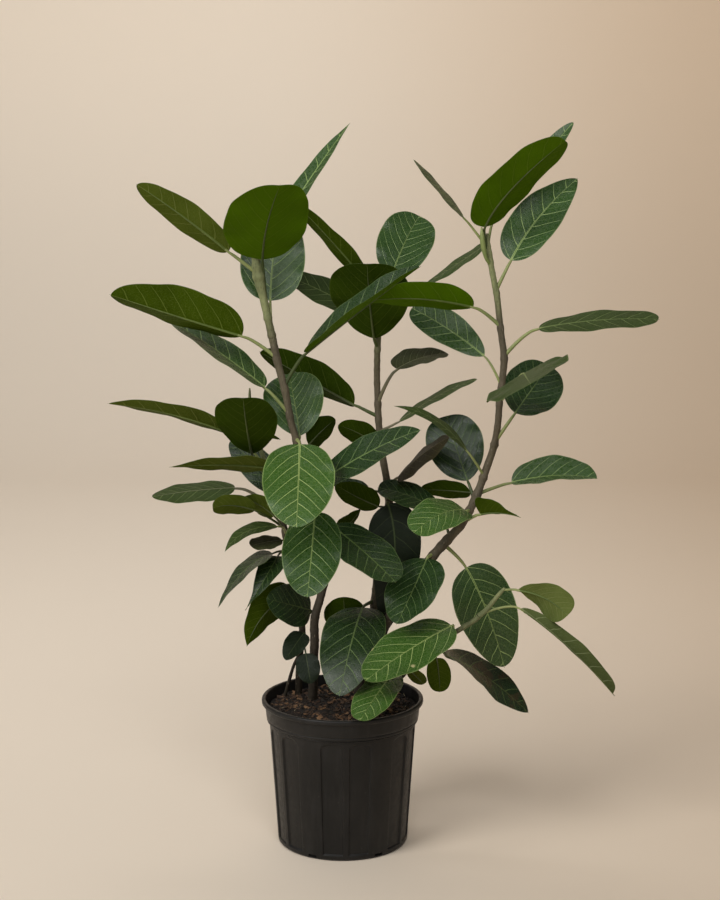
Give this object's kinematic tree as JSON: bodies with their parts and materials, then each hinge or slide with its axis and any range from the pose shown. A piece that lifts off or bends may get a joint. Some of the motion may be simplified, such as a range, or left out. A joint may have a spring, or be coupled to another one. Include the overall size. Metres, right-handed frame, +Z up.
{
  "type": "potted fig plant",
  "caption": "Tall bushy potted fig: broad oval leaves on woody stems rising from soil in a round fluted nursery pot with a rolled rim.",
  "frame": {"origin": "middle of the pot's flat underside", "axes": "+Z up along the pot's axis, the front of the plant faces -Y, +X to its right as seen from the front"},
  "size_m": [0.8661, 0.3204, 1.1725],
  "materials": {
    "pot_black_plastic": "satin moulded black",
    "soil_dark_brown": "loose dark potting mix with bark chips",
    "bark_grey_brown": "smooth grey-brown bark",
    "leaf_dark_green": "dark leathery leaf, satin",
    "leaf_green": "leathery leaf, satin",
    "leaf_bright_green": "lighter leathery leaf, satin"
  },
  "bodies": {
    "root": {"leaf_back_curved": "leaf_green", "leaf_back_fork": "leaf_green", "leaf_back_grey": "leaf_green", "leaf_back_lower": "leaf_dark_green", "leaf_back_round": "leaf_dark_green", "leaf_back_short": "leaf_green", "leaf_back_sickle": "leaf_green", "leaf_centre_dark": "leaf_dark_green", "leaf_centre_grey": "leaf_green", "leaf_centre_hanging": "leaf_dark_green", "leaf_centre_inner": "leaf_dark_green", "leaf_centre_low": "leaf_dark_green", "leaf_centre_narrow": "leaf_green", "leaf_centre_pair_a": "leaf_dark_green", "leaf_centre_pair_b": "leaf_dark_green", "leaf_centre_side": "leaf_green", "leaf_left_band": "leaf_green", "leaf_left_behind": "leaf_dark_green", "leaf_left_drooping_lower": "leaf_green", "leaf_left_drooping_upper": "leaf_bright_green", "leaf_left_glossy": "leaf_green", "leaf_left_grey": "leaf_green", "leaf_left_inner": "leaf_dark_green", "leaf_left_long": "leaf_green", "leaf_left_small": "leaf_dark_green", "leaf_left_upright": "leaf_green", "leaf_low_broad": "leaf_bright_green", "leaf_low_brown": "leaf_green", "leaf_low_front": "leaf_green", "leaf_low_small_a": "leaf_green", "leaf_low_small_b": "leaf_green", "leaf_right_across": "leaf_dark_green", "leaf_right_big": "leaf_green", "leaf_right_bright": "leaf_bright_green", "leaf_right_glossy": "leaf_green", "leaf_right_hanging": "leaf_green", "leaf_right_hooked": "leaf_green", "leaf_right_inward": "leaf_green", "leaf_right_long": "leaf_green", "leaf_right_narrow": "leaf_green", "leaf_right_near": "leaf_bright_green", "leaf_right_out": "leaf_green", "leaf_right_round": "leaf_green", "leaf_right_shaded": "leaf_dark_green", "leaf_right_short": "leaf_dark_green", "leaf_right_upright": "leaf_dark_green", "pot": "pot_black_plastic", "shoot_back_tip": "leaf_green", "shoot_centre_tip": "leaf_green", "shoot_left_tip": "leaf_green", "shoot_low_tip": "leaf_green", "shoot_right_tip": "leaf_green", "shoot_thin": "leaf_green", "soil": "soil_dark_brown", "stem_back": "bark_grey_brown", "stem_centre": "bark_grey_brown", "stem_left": "bark_grey_brown", "stem_low": "bark_grey_brown", "stem_right": "bark_grey_brown"}
  },
  "joints": []
}
